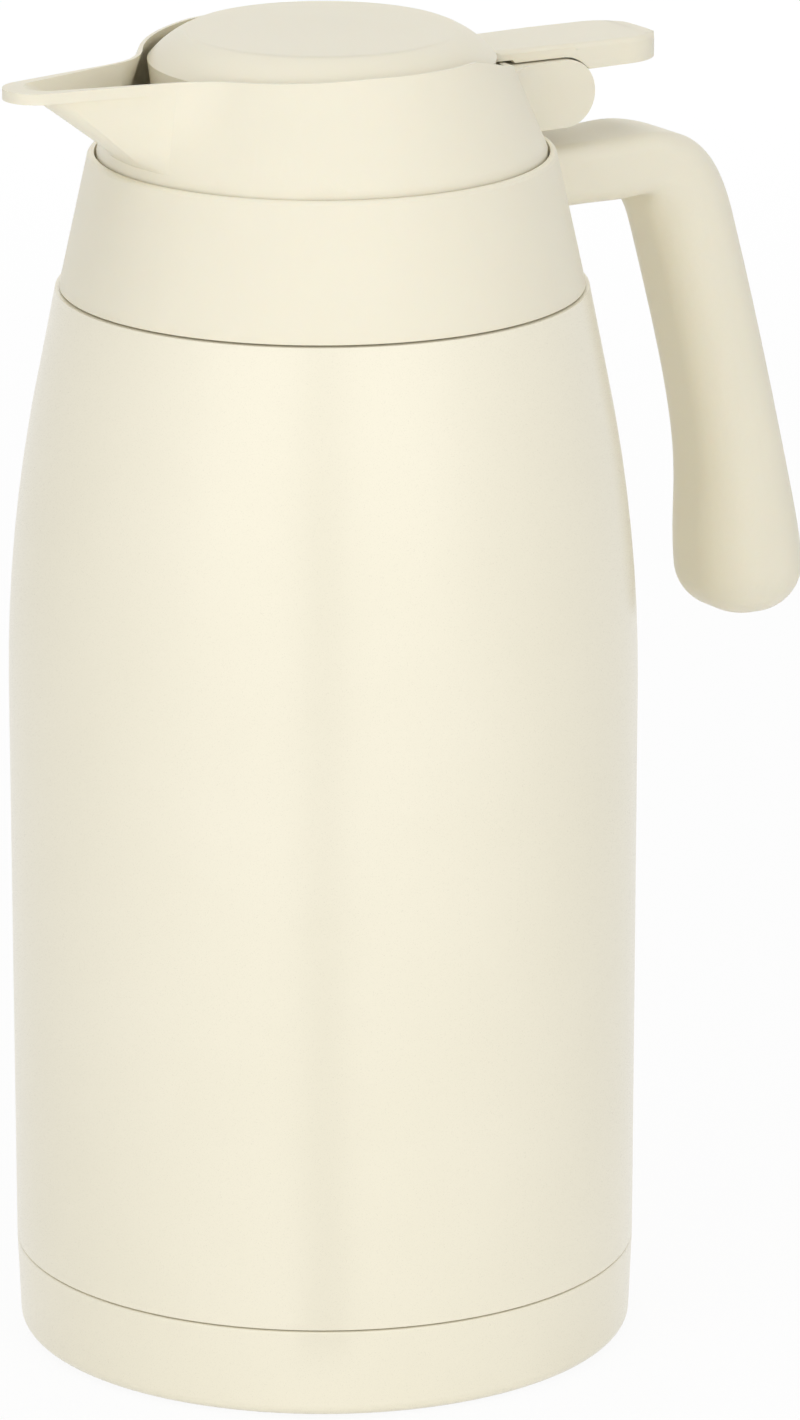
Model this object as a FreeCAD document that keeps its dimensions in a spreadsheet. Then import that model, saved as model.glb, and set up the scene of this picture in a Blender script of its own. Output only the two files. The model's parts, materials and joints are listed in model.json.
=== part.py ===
import FreeCAD, Part
import math
import os
import re

import Sketcher

# Insulated pitcher: a vacuum flask with a collar and handle, a lift-off stopper with a pouring beak, and a
# lid that a thumb lever tips open. Millimetres. Z is the flask's axis, from the table up; the handle is on
# +X, the beak on -X, and the shape is the same on both sides of the XZ plane.

SIZES = {
    # Flask shell
    "body_radius": 70.0,
    "foot_inset": 0.4,
    "widest_height": 150.0,
    "shell_top": 239.6,
    "shoulder_step": 11.2,
    "cone_taper": 4.33,
    "cone_drop": 21.6,
    "shell_wall": 1.0,
    "skirt_step": 2.6,
    "skirt_foot": 8.0,
    "neck_gap": 3.7,
    "neck_rise": 18.4,
    # Base cap and the plate that closes the shell
    "cap_height": 20.3,
    "cap_corner": 3.0,
    "cap_draft": 0.7,
    "cap_floor": 3.0,
    "ledge_width": 4.0,
    "dish_margin": 9.0,
    "dish_rise": 4.0,
    "pump_radius": 9.0,
    "pump_depth": 1.5,
    # Inner bottle, foil and getter
    "vacuum_gap": 2.2,
    "bottle_wall": 0.8,
    "bottle_floor": 27.0,
    "bottle_corner": 14.0,
    "bottle_neck_length": 20.0,
    "lip_overhang": 0.5,
    "foil_wall": 0.25,
    "foil_margin": 3.0,
    "getter_radius": 7.0,
    "getter_height": 3.0,
    # Collar
    "shell_ledge": 0.9,
    "collar_lean": 6.3,
    "collar_height": 30.3,
    "collar_round": 1.2,
    "collar_lip": 2.0,
    "collar_wall": 1.6,
    "collar_web": 2.3,
    "socket_depth": 15.9,
    "socket_floor_wall": 3.5,
    "gasket_recess": 1.5,
    # Handle
    "arm_drop": 11.2,
    "arm_length": 30.4,
    "arm_thickness": 14.2,
    "arm_width": 24.0,
    "grip_out": 42.6,
    "grip_drop": 111.2,
    "grip_thickness": 20.8,
    "grip_width": 25.0,
    "grip_end_round": 11.0,
    "handle_screw_pitch": 14.0,
    "handle_screw_length": 16.0,
    "screw_radius": 1.4,
    "screw_head_radius": 2.7,
    "screw_head_height": 2.0,
    # Pouring ring of the stopper
    "socket_clearance": 0.6,
    "ring_gap": 0.5,
    "ring_lean": 9.9,
    "ring_height": 23.4,
    "ring_foot_gap": 3.0,
    "skirt_wall": 3.0,
    "rim_wall": 0.8,
    "well_floor_rise": 4.6,
    "well_floor_wall": 3.0,
    "well_wall": 2.5,
    # Beak
    "beak_root_rise": 1.8,
    "beak_out": 32.6,
    "beak_tip_radius": 6.0,
    "beak_taper": 13.0,
    "beak_flare": 16.0,
    "beak_drop": 1.6,
    "beak_lip_depth": 2.4,
    "beak_lip_proud": 1.4,
    "beak_lip_taper": 10.0,
    "rim_fall_run": 28.0,
    "hinge_fall_margin": 8.5,
    "hinge_fall_run": 13.0,
    # Hinge
    "pin_out": 6.8,
    "pin_radius": 1.5,
    "pin_blind": 10.5,
    "lug_radius": 7.6,
    "lug_half_width": 12.0,
    "lug_root_gap": 0.7,
    "lug_slot_half": 5.6,
    "lug_fillet": 14.0,
    "knuckle_radius": 6.2,
    "knuckle_half_width": 5.2,
    "hinge_gap": 0.6,
    # Torsion spring
    "spring_gap_half": 3.0,
    "spring_radius": 2.9,
    "spring_wire": 0.45,
    "spring_pitch": 1.4,
    # Plug
    "flange_clearance": 4.4,
    "flange_overlap": 5.0,
    "plug_clearance": 2.0,
    "plug_wall": 1.8,
    "plug_depth": 26.0,
    "plug_flange_wall": 2.5,
    "deck_step": 3.0,
    "plug_bottom_wall": 2.0,
    "stopper_gasket_wall": 2.0,
    "tube_wall": 1.6,
    "tube_gasket_width": 1.4,
    "seat_rise": 1.0,
    # Lid and lever
    "lid_gap": 0.5,
    "lid_draft": 0.7,
    "lid_wall": 2.3,
    "lid_foot_rise": 9.5,
    "lid_edge_drop": 3.2,
    "lid_arc": 20.0,
    "lid_shoulder": 8.7,
    "lid_rise": 3.2,
    "lever_overlap": 2.2,
    "lever_gap": 2.0,
    "lever_rim_gap": 1.3,
    "lever_roof_run": 2.3,
    "lever_heel_run": 6.7,
    "lever_heel_depth": 4.9,
    "lever_length": 29.1,
    "lever_wall": 1.6,
    "lever_fall": 0.8,
    "lever_half_width": 11.0,
    "lever_neck_half": 9.5,
    "lever_neck_gap": 1.3,
    "lever_full_run": 3.8,
    # Liner and seal
    "liner_wall": 2.2,
    "liner_boss_margin": 3.0,
    "seal_margin": 0.9,
    "seal_flare": 2.0,
    "seal_face": 2.7,
    "seal_wall": 2.2,
    "seal_lip": 1.2,
    "boss_radius": 3.0,
    "boss_inset": 10.1,
    "lid_screw_radius": 1.2,
    "lid_screw_head_radius": 2.3,
    "lid_screw_head_height": 1.3,
    "lid_screw_cover": 1.9,
    # Fits
    "seam_gap": 0.4,
    "glue_gap": 0.1,
    "rest_gap": 0.3,
    "pin_clearance": 0.05,
    "screw_clearance": 0.1,
    "overrun": 2.0,
}

# Counts
LID_SCREWS = 3
SPRING_TURNS = 3
HANDLE_SECTIONS = 24

# Handle stations: shares of the arm's length for its root and arm, then for the grip shares of the reach
# beyond the arm, of the drop from the arm to the grip's foot, and of the grip's thickness and width.
ARM_SHARES = (0.0, 0.3, 0.6, 0.85, 1.0)
GRIP_SHARES = (
    (0.200, 0.050, 0.930, 0.98),
    (0.322, 0.158, 0.985, 0.98),
    (0.440, 0.323, 0.970, 1.00),
    (0.577, 0.540, 1.000, 1.02),
    (0.641, 0.678, 1.087, 1.08),
    (0.682, 0.820, 1.250, 1.18),
    (0.704, 0.910, 1.260, 1.19),
    (0.708, 0.982, 1.150, 1.10),
)
ARM_CORNER_SHARE = 0.30
GRIP_CORNER_SHARE = 0.46

# Where the bottle's shoulder starts, between the flask's widest height and the bottle's neck
BOTTLE_SHOULDER_SHARE = 0.32

# How much of the plug's inside the pouring tube takes; foam fills the rest
PLUG_TUBE_SHARE = 0.482

# Sizes that follow from others, written in size names: first radii, from the shell in to the lid
FOLLOWS = {
    "foot_radius": "body_radius - foot_inset",
    "skirt_radius": "foot_radius - skirt_step",
    "cap_bore": "skirt_radius - ledge_width",
    "dish_radius": "cap_bore - dish_margin",
    "bottle_radius": "skirt_radius - shell_wall - vacuum_gap - bottle_wall",
    "bottle_out": "bottle_radius + bottle_wall",
    "shell_top_radius": "body_radius - shoulder_step",
    "cone_radius": "shell_top_radius + cone_taper",
    "collar_foot_radius": "shell_top_radius - shell_ledge",
    "collar_top_radius": "collar_foot_radius - collar_lean",
    "socket_radius": "collar_top_radius - collar_wall",
    "collar_web_radius": "socket_radius + collar_web",
    "arm_reach": "collar_top_radius + arm_length",
    "grip_reach": "arm_reach + grip_out",
    "ring_radius": "socket_radius - socket_clearance",
    "ring_top_radius": "ring_radius - ring_lean",
    "well_radius": "ring_top_radius - rim_wall",
    "rim_fall_start": "ring_top_radius - rim_fall_run",
    "hinge_fall_end": "well_radius - hinge_fall_margin",
    "hinge_fall_start": "hinge_fall_end - hinge_fall_run",
    "beak_reach": "ring_top_radius + beak_out",
    "pin_reach": "ring_radius + pin_out",
    "lug_root": "ring_top_radius + lug_root_gap",
    "plug_flange_radius": "ring_radius - skirt_wall - flange_clearance",
    "mouth_radius": "plug_flange_radius - flange_overlap",
    "neck_out": "mouth_radius + bottle_wall",
    "neck_radius": "neck_out + neck_gap",
    "collar_bore": "neck_radius + lip_overhang + seam_gap",
    "plug_radius": "mouth_radius - plug_clearance",
    "plug_deck_radius": "plug_radius + deck_step",
    "plug_inside": "plug_radius - plug_wall",
    "tube_radius": f"{PLUG_TUBE_SHARE} * plug_inside",
    "tube_out": "tube_radius + tube_wall",
    "tube_hole": "tube_out + tube_gasket_width",
    "lid_radius": "well_radius - lid_gap",
    "lid_foot_radius": "lid_radius - lid_draft",
    "lid_crease_radius": "lid_radius - lid_shoulder",
    "lever_root": "lid_radius - lever_overlap",
    "lever_neck": "lid_radius + lever_neck_gap",
    "lever_roof_end": "pin_reach + lever_roof_run",
    "lever_full": "pin_reach + lever_full_run",
    "lever_heel": "pin_reach + lever_heel_run",
    "lever_tip": "pin_reach + lever_length",
    "liner_radius": "lid_radius - lid_wall - rest_gap",
    "boss_circle": "liner_radius - boss_inset",
    "liner_boss_radius": "tube_radius - liner_boss_margin",
    "seal_face_radius": "tube_out + seal_margin",
    "seal_radius": "seal_face_radius + seal_flare",
    # Heights, from the table up
    "ledge": "cap_height + seam_gap",
    "plate": "skirt_foot + dish_rise",
    "cone_height": "shell_top - cone_drop",
    "mouth_height": "shell_top + neck_rise",
    "bottle_neck": "mouth_height - bottle_neck_length",
    "bottle_shoulder": f"widest_height + {BOTTLE_SHOULDER_SHARE} * (bottle_neck - widest_height)",
    "collar_foot": "shell_top + seam_gap",
    "collar_top": "shell_top + collar_height",
    "socket_floor": "collar_top - socket_depth",
    "arm_height": "collar_top - arm_drop",
    "grip_foot": "arm_height - grip_drop",
    "ring_foot": "socket_floor + ring_foot_gap",
    "ring_base": "collar_top + ring_gap",
    "ring_top": "ring_base + ring_height",
    "well_floor": "ring_base + well_floor_rise",
    "floor_under": "well_floor - well_floor_wall",
    "beak_foot": "ring_base + beak_root_rise",
    "beak_top": "ring_top - beak_drop",
    "pin_height": "ring_base + lug_radius",
    "lug_top": "pin_height + lug_radius",
    "lug_foot": "pin_height - lug_radius",
    "plug_foot": "mouth_height - plug_depth",
    "flange_foot": "mouth_height + rest_gap + stopper_gasket_wall",
    "deck_under": "floor_under - plug_wall",
    "seat_height": "well_floor + seat_rise",
    "seal_foot": "seat_height + rest_gap",
    "boss_foot": "seal_foot + seal_face + glue_gap",
    "lid_foot": "well_floor + lid_foot_rise",
    "lid_edge": "ring_top - lid_edge_drop",
    "lid_top": "ring_top + lid_rise",
    "liner_foot": "lid_foot + rest_gap",
    "liner_top": "liner_foot + liner_wall",
    "lid_screw_length": "lid_top - lid_wall - lid_screw_cover - liner_foot",
    "lever_roof": "lug_top + lever_gap",
    "hinge_rim": "lever_roof - lever_rim_gap",
    "lever_foot": "lever_roof - lever_heel_depth",
    "lever_root_top": "lever_roof + lever_wall",
    "lever_tip_top": "lever_root_top - lever_fall",
    # Curves and slopes
    "shoulder_fall": "body_radius - cone_radius",
    "shoulder_arc": "((cone_height - widest_height)^2 + shoulder_fall^2) / (2 * shoulder_fall)",
    "bottle_step": "bottle_radius - mouth_radius",
    "bottle_arc": "(bottle_step^2 + (bottle_neck - bottle_shoulder)^2) / (2 * bottle_step)",
    "bottle_arc_out": "bottle_arc + bottle_wall",
    "neck_start_out": "bottle_shoulder + sqrt(bottle_arc_out^2 - (bottle_arc_out - bottle_step)^2)",
    "ring_slope": "(ring_radius - ring_top_radius) / (ring_top - ring_base)",
    "well_wall_out": "ring_radius - (well_floor - ring_base) * ring_slope",
    "well_floor_radius": "well_wall_out - well_wall",
    "beak_foot_radius": "ring_radius - beak_root_rise * ring_slope",
    "lug_wall": "ring_radius - (lug_top - ring_base) * ring_slope",
    "fillet_x": "sqrt((lug_wall + lug_fillet)^2 - (lug_half_width + lug_fillet)^2)",
    "fillet_part": "lug_wall / (lug_wall + lug_fillet)",
}

doc = FreeCAD.newDocument("insulated_pitcher")
sheet = doc.addObject("Spreadsheet::Sheet", "sizes")
for row, (alias, number) in enumerate(SIZES.items(), start=1):
    sheet.set(f"A{row}", alias)
    sheet.set(f"B{row}", str(number))
    sheet.setAlias(f"B{row}", alias)
doc.recompute()

SIZE_NAME = re.compile(r"[a-z][a-z_]*")
parts = []


def bound(text):
    """The expression that reads the sheet for a sum written in size names."""
    def cell(found):
        name = found.group()
        if name in FOLLOWS:
            return f"({bound(FOLLOWS[name])})"
        return f"sizes.{name}" if name in SIZES else name

    return SIZE_NAME.sub(cell, text)


def size(text):
    """The number that a sum written in size names comes to."""
    return float(sheet.evalExpression(bound(text)))


def bind(item, **sums):
    """Bind properties to sums; a double underscore in a keyword stands for a dot."""
    for name, text in sums.items():
        item.setExpression(name.replace("__", "."), bound(text))


def place(item, x="0", y="0", z="0"):
    bind(item, Placement__Base__x=x, Placement__Base__y=y, Placement__Base__z=z)


def keep(item, label):
    """Register a finished sub-part under its node name."""
    item.Label = label
    parts.append(item)
    return item


def new_body(name):
    return doc.addObject("PartDesign::Body", f"{name}_body")


def new_sketch(body, name, role, height=None):
    """A sketch on one of the body's origin planes, raised along its normal where a height is given."""
    sketch = body.newObject("Sketcher::SketchObject", f"{body.Name}_{name}_sketch")
    plane = next(item for item in body.Origin.OriginFeatures if item.Role == role)
    sketch.AttachmentSupport = (plane, "")
    sketch.MapMode = "FlatFace"
    if height:
        bind(sketch, AttachmentOffset__Base__z=height)
    return sketch


def fix(sketch, kind, edge, end, text):
    """Hold one coordinate of a corner at a sum of sizes."""
    number = sketch.addConstraint(Sketcher.Constraint(kind, edge, end, size(text)))
    sketch.setExpression(f"Constraints[{number}]", bound(text))


def arc_between(start, end, radius, turn):
    """The shorter arc from start to end; turn is 1 for counterclockwise and -1 for clockwise."""
    chord = end - start
    half = chord.Length / 2
    rise = math.sqrt(max(radius ** 2 - half ** 2, 0))
    left = FreeCAD.Vector(-chord.y, chord.x, 0).normalize()
    centre = start + chord / 2 + left * rise * turn
    circle = Part.Circle(centre, FreeCAD.Vector(0, 0, 1), radius)
    first, last = (start, end) if turn > 0 else (end, start)
    return Part.ArcOfCircle(circle, circle.parameter(first), circle.parameter(last))


def outline(sketch, corners):
    """A closed loop through corners (x, y), or (x, y, radius, turn) where an arc leads to the corner."""
    base = sketch.GeometryCount
    places = [FreeCAD.Vector(size(corner[0]), size(corner[1]), 0) for corner in corners]
    ends = []
    for index, corner in enumerate(corners):
        following = corners[(index + 1) % len(corners)]
        start = places[index]
        end = places[(index + 1) % len(corners)]
        if len(following) == 4:
            sketch.addGeometry(arc_between(start, end, size(following[2]), following[3]))
            ends.append((1, 2) if following[3] > 0 else (2, 1))
        else:
            sketch.addGeometry(Part.LineSegment(start, end))
            ends.append((1, 2))
    for index, corner in enumerate(corners):
        edge = base + index
        before = base + (index - 1) % len(corners)
        joint = Sketcher.Constraint("Coincident", before, ends[index - 1][1], edge, ends[index][0])
        sketch.addConstraint(joint)
        fix(sketch, "DistanceX", edge, ends[index][0], corner[0])
        fix(sketch, "DistanceY", edge, ends[index][0], corner[1])
        if len(corner) == 4:
            number = sketch.addConstraint(Sketcher.Constraint("Radius", before, size(corner[2])))
            sketch.setExpression(f"Constraints[{number}]", bound(corner[2]))


def circle_at(sketch, x, y, radius):
    centre = FreeCAD.Vector(size(x), size(y), 0)
    edge = sketch.addGeometry(Part.Circle(centre, FreeCAD.Vector(0, 0, 1), size(radius)))
    number = sketch.addConstraint(Sketcher.Constraint("Radius", edge, size(radius)))
    sketch.setExpression(f"Constraints[{number}]", bound(radius))
    fix(sketch, "DistanceX", edge, 3, x)
    fix(sketch, "DistanceY", edge, 3, y)


def turn(body, name, corners, kind="Revolution"):
    """Turn a profile of (radius, height) corners about the flask's axis, to add or, as a Groove, to cut."""
    sketch = new_sketch(body, name, "XZ_Plane")
    outline(sketch, corners)
    feature = body.newObject(f"PartDesign::{kind}", f"{body.Name}_{name}")
    feature.Profile = sketch
    feature.ReferenceAxis = (sketch, ["V_Axis"])
    return feature


def turned_part(label, corners):
    body = new_body(label)
    turn(body, "profile", corners)
    return keep(body, label)


def ring_part(label, inner, outer, foot, top):
    """A plain ring of rectangular section."""
    return turned_part(label, [(inner, foot), (outer, foot), (outer, top), (inner, top)])


def both_ways(body, name, kind, half, loops):
    """Pad or pocket side profiles in the XZ plane by half a width to each side."""
    sketch = new_sketch(body, name, "XZ_Plane")
    for loop in loops:
        if isinstance(loop, tuple):
            circle_at(sketch, *loop)
        else:
            outline(sketch, loop)
    feature = body.newObject(f"PartDesign::{kind}", f"{body.Name}_{name}")
    feature.Profile = sketch
    feature.SideType = "Symmetric"
    bind(feature, Length=f"2 * ({half})")
    return feature


def raised(body, name, kind, foot, height, loops):
    """Pad upwards, or pocket upwards, plan loops drawn at a height."""
    sketch = new_sketch(body, name, "XY_Plane", foot)
    for loop in loops:
        if isinstance(loop, tuple):
            circle_at(sketch, *loop)
        else:
            outline(sketch, loop)
    feature = body.newObject(f"PartDesign::{kind}", f"{body.Name}_{name}")
    feature.Profile = sketch
    feature.Reversed = kind == "Pocket"
    bind(feature, Length=height)
    return feature


def rod(name, radius, length):
    cylinder = doc.addObject("Part::Cylinder", name)
    bind(cylinder, Radius=radius, Height=length)
    return cylinder


def make_flask():
    turned_part("outer_shell", [
        ("skirt_radius - shell_wall", "skirt_foot"),
        ("skirt_radius", "skirt_foot"),
        ("skirt_radius", "ledge"),
        ("foot_radius", "ledge"),
        ("body_radius", "widest_height"),
        ("cone_radius", "cone_height", "shoulder_arc", 1),
        ("shell_top_radius", "shell_top"),
        ("neck_radius", "shell_top"),
        ("neck_radius", "mouth_height - bottle_wall"),
        ("neck_radius - shell_wall", "mouth_height - bottle_wall"),
        ("neck_radius - shell_wall", "shell_top - shell_wall"),
        ("shell_top_radius - shell_wall", "shell_top - shell_wall"),
        ("cone_radius - shell_wall", "cone_height"),
        ("body_radius - shell_wall", "widest_height", "shoulder_arc", -1),
        ("foot_radius - shell_wall", "ledge + shell_wall"),
        ("skirt_radius - shell_wall", "ledge + shell_wall"),
    ])
    turned_part("inner_bottle", [
        ("0", "bottle_floor - bottle_wall"),
        ("bottle_radius - bottle_corner", "bottle_floor - bottle_wall"),
        ("bottle_out", "bottle_floor + bottle_corner", "bottle_corner + bottle_wall", 1),
        ("bottle_out", "bottle_shoulder"),
        ("neck_out", "neck_start_out", "bottle_arc_out", 1),
        ("neck_out", "mouth_height - bottle_wall"),
        ("neck_radius + lip_overhang", "mouth_height - bottle_wall"),
        ("neck_radius + lip_overhang", "mouth_height"),
        ("mouth_radius", "mouth_height"),
        ("mouth_radius", "bottle_neck"),
        ("bottle_radius", "bottle_shoulder", "bottle_arc", -1),
        ("bottle_radius", "bottle_floor + bottle_corner"),
        ("bottle_radius - bottle_corner", "bottle_floor", "bottle_corner", -1),
        ("0", "bottle_floor"),
    ])
    ring_part(
        "foil_wrap",
        "bottle_out + glue_gap",
        "bottle_out + glue_gap + foil_wall",
        "bottle_floor + bottle_corner + foil_margin",
        "bottle_shoulder - foil_margin",
    )
    getter = rod("getter_pill", "getter_radius", "getter_height")
    place(getter, z="bottle_floor - bottle_wall - glue_gap - getter_height")
    keep(getter, "getter")


def make_base():
    turned_part("shell_bottom", [
        ("0", "plate + pump_depth"),
        ("pump_radius", "plate + pump_depth"),
        ("pump_radius", "plate"),
        ("dish_radius", "plate"),
        ("cap_bore", "skirt_foot"),
        ("skirt_radius - shell_wall - glue_gap", "skirt_foot"),
        ("skirt_radius - shell_wall - glue_gap", "skirt_foot + shell_wall"),
        ("cap_bore", "skirt_foot + shell_wall"),
        ("dish_radius", "plate + shell_wall"),
        ("pump_radius + shell_wall", "plate + shell_wall"),
        ("pump_radius + shell_wall", "plate + pump_depth + shell_wall"),
        ("0", "plate + pump_depth + shell_wall"),
    ])
    plug = rod("vacuum_seal", "pump_radius - glue_gap", "pump_depth - glue_gap")
    place(plug, z="plate")
    keep(plug, "vacuum_plug")
    turned_part("base_cap", [
        ("0", "0"),
        ("foot_radius - cap_draft - cap_corner", "0"),
        ("foot_radius - cap_draft", "cap_corner", "cap_corner", 1),
        ("foot_radius", "cap_height"),
        ("skirt_radius + glue_gap", "cap_height"),
        ("skirt_radius + glue_gap", "skirt_foot"),
        ("cap_bore", "skirt_foot"),
        ("cap_bore", "cap_floor"),
        ("0", "cap_floor"),
    ])


def screw_places():
    """Where the two screws of the arm start, across the handle."""
    return [f"{sign} * handle_screw_pitch / 2" for sign in (1, -1)]


def screw_holes(body, name, radius, start, length):
    """Drill both screw holes of the arm outwards along X."""
    sketch = new_sketch(body, name, "YZ_Plane", start)
    for across in screw_places():
        circle_at(sketch, across, "arm_height", radius)
    feature = body.newObject("PartDesign::Pocket", f"{body.Name}_{name}")
    feature.Profile = sketch
    feature.Reversed = True
    bind(feature, Length=length)


def make_collar():
    body = new_body("collar")
    turn(body, "profile", [
        ("collar_foot_radius - collar_lip", "collar_foot"),
        ("collar_foot_radius", "collar_foot"),
        ("collar_top_radius", "collar_top - collar_round"),
        ("collar_top_radius - collar_round", "collar_top", "collar_round", 1),
        ("socket_radius", "collar_top"),
        ("socket_radius", "socket_floor"),
        ("collar_bore", "socket_floor"),
        ("collar_bore", "socket_floor - socket_floor_wall"),
        ("collar_web_radius", "socket_floor - socket_floor_wall"),
        ("collar_web_radius", "collar_foot + gasket_recess"),
        ("collar_foot_radius - collar_lip", "collar_foot + gasket_recess"),
    ])
    screw_holes(body, "heads", "screw_head_radius + screw_clearance", "neck_radius",
                "socket_radius - neck_radius + screw_head_height")
    screw_holes(body, "shanks", "screw_radius + screw_clearance", "neck_radius",
                "collar_foot_radius - neck_radius + overrun")
    keep(body, "collar")
    ring_part(
        "collar_gasket",
        "collar_web_radius + glue_gap",
        "collar_foot_radius - collar_lip - glue_gap",
        "shell_top",
        "collar_foot + gasket_recess",
    )


def rounded_section(centre, along, form):
    """A rounded rectangle across the handle: form holds its thickness, width and corner radius."""
    thickness, width, corner = form
    half_t = thickness / 2 - corner
    half_w = width / 2 - corner
    diagonal = corner * math.sqrt(0.5)
    corners = []
    for sign_t, sign_w in ((1, 1), (-1, 1), (-1, -1), (1, -1)):
        points = [
            FreeCAD.Vector(sign_t * (half_t + corner), sign_w * half_w, 0),
            FreeCAD.Vector(sign_t * (half_t + diagonal), sign_w * (half_w + diagonal), 0),
            FreeCAD.Vector(sign_t * half_t, sign_w * (half_w + corner), 0),
        ]
        corners.append(points if sign_t * sign_w > 0 else points[::-1])
    edges = []
    for points, following in zip(corners, corners[1:] + corners[:1]):
        edges.append(Part.Arc(*points).toShape())
        edges.append(Part.LineSegment(points[-1], following[0]).toShape())
    wire = Part.Wire(edges)
    across = FreeCAD.Vector(0, 1, 0)
    turn_to = FreeCAD.Rotation(across.cross(along), across, along, "ZYX")
    wire.Placement = FreeCAD.Placement(centre, turn_to)
    return wire


def handle_stations():
    """Centres of the handle's known sections from root to foot, and their thickness, width and corner."""
    arm_height = size("arm_height")
    arm = (size("arm_thickness"), size("arm_width"), ARM_CORNER_SHARE * size("arm_thickness"))
    centres = []
    forms = []
    for share in ARM_SHARES:
        reach = size("neck_radius") + share * size("arm_reach - neck_radius")
        centres.append(FreeCAD.Vector(reach, 0, arm_height))
        forms.append(arm)
    for out_share, drop_share, thick_share, width_share in GRIP_SHARES:
        reach = size("arm_reach") + out_share * size("grip_reach - arm_reach")
        drop = drop_share * size("arm_height - grip_foot")
        thickness = thick_share * size("grip_thickness")
        width = width_share * size("grip_width")
        centres.append(FreeCAD.Vector(reach, 0, arm_height - drop))
        forms.append((thickness, width, GRIP_CORNER_SHARE * thickness))
    return centres, forms


def smooth(steps, values):
    """A curve whose height above each step is the value there."""
    curve = Part.BSplineCurve()
    curve.interpolate(Points=[FreeCAD.Vector(*pair, 0) for pair in zip(steps, values)], Parameters=steps)
    return curve


def make_handle():
    """Loft evenly spaced sections along a spline, round off the foot, then fit the root to the collar."""
    centres, forms = handle_stations()
    steps = [0]
    for before, after in zip(centres, centres[1:]):
        steps.append(steps[-1] + (after - before).Length)
    path = Part.BSplineCurve()
    path.interpolate(Points=centres, Parameters=steps)
    growths = [smooth(steps, values) for values in zip(*forms)]
    sections = []
    for index in range(HANDLE_SECTIONS + 1):
        along = steps[-1] * index / HANDLE_SECTIONS
        form = [growth.value(along).y for growth in growths]
        sections.append(rounded_section(path.value(along), path.tangent(along)[0], form))
    solid = Part.makeLoft(sections, True, False)
    foot = min(solid.Faces, key=lambda face: (face.CenterOfMass - centres[-1]).Length)
    solid = solid.makeFillet(size("grip_end_round"), foot.Edges)
    seat = Part.makeCone(
        size("collar_foot_radius + glue_gap"),
        size("collar_top_radius + glue_gap"),
        size("collar_top - collar_round - collar_foot"),
        FreeCAD.Vector(0, 0, size("collar_foot")),
    )
    solid = solid.cut(seat)
    for across in screw_places():
        hole = Part.makeCylinder(
            size("screw_radius + pin_clearance"),
            size("handle_screw_length + overrun"),
            FreeCAD.Vector(size("socket_radius + screw_head_height"), size(across), size("arm_height")),
            FreeCAD.Vector(1, 0, 0),
        )
        solid = solid.cut(hole)
    handle = doc.addObject("Part::Feature", "handle_form")
    handle.Shape = solid.Solids[0]
    keep(handle, "handle")


def make_screws(name, head, head_height, shank, length, spots, axis):
    """Screws of one kind, as one group: spots give each head's outer face, and axis the way they point."""
    screws = []
    for index, spot in enumerate(spots):
        cap = rod(f"{name}_head_{index}", head, head_height)
        stem = rod(f"{name}_stem_{index}", shank, length)
        for piece in (cap, stem):
            piece.Placement.Rotation = FreeCAD.Rotation(FreeCAD.Vector(0, 0, 1), axis)
            place(piece, *spot)
        screw = doc.addObject("Part::Fuse", f"{name}_{index}")
        screw.Base = cap
        screw.Tool = stem
        screws.append(screw)
    group = doc.addObject("Part::Compound", f"{name}_group")
    group.Links = screws
    keep(group, name)


def make_handle_screws():
    spots = [("socket_radius", across, "arm_height") for across in screw_places()]
    make_screws("handle_screws", "screw_head_radius", "screw_head_height", "screw_radius",
                "handle_screw_length", spots, FreeCAD.Vector(1, 0, 0))


def beak_corners(ring, tip, reach, taper, flare):
    """Corners on the +Y side of a plan of the ring and beak: where the ring ends, where the straight side
    starts and where it ends at the round tip. The flare is the hollow curve between ring and side."""
    lean = f"({taper} * 1deg)"
    turn_off = f"(asin(({reach} * sin({lean}) + {tip} + {flare}) / ({ring} + {flare})) - {lean})"
    return (
        (f"-{ring} * cos({turn_off})", f"{ring} * sin({turn_off})"),
        (f"{flare} * sin({lean}) - ({ring} + {flare}) * cos({turn_off})",
         f"({ring} + {flare}) * sin({turn_off}) - {flare} * cos({lean})"),
        (f"-{reach} - {tip} * sin({lean})", f"{tip} * cos({lean})"),
    )


def beak_plan(body, name, height, ring, tip, reach, taper, flare):
    """A plan of ring and beak at a height."""
    (ring_x, ring_y), (side_x, side_y), (tip_x, tip_y) = beak_corners(ring, tip, reach, taper, flare)
    sketch = new_sketch(body, name, "XY_Plane", height)
    outline(sketch, [
        (ring, "0", ring, 1),
        (ring_x, ring_y, ring, 1),
        (side_x, side_y, flare, -1),
        (tip_x, tip_y),
        (tip_x, f"-({tip_y})", tip, 1),
        (side_x, f"-({side_y})"),
        (ring_x, f"-({ring_y})", flare, -1),
    ])
    return sketch


def root_plan(body, name, height, radius, corners):
    """A round plan at a height, cut into as many edges as the plan of ring and beak with these corners."""
    (ring_x, ring_y), side, tip = corners
    turn_off = f"atan2({ring_y}; -({ring_x}))"
    places = [(f"-{radius} * cos({turn_off})", f"{radius} * sin({turn_off})")]
    for _, across in (side, tip):
        places.append((f"-sqrt({radius}^2 - ({across})^2)", across))
    sketch = new_sketch(body, name, "XY_Plane", height)
    mirrored = [(x, f"-({y})") for x, y in reversed(places)]
    outline(sketch, [(x, y, radius, 1) for x, y in [(radius, "0")] + places + mirrored])
    return sketch


def loft(body, name, kind, root, plan):
    feature = body.newObject(f"PartDesign::{kind}Loft", f"{body.Name}_{name}")
    feature.Profile = root
    feature.Sections = [plan]
    feature.Ruled = True
    return feature


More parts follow.
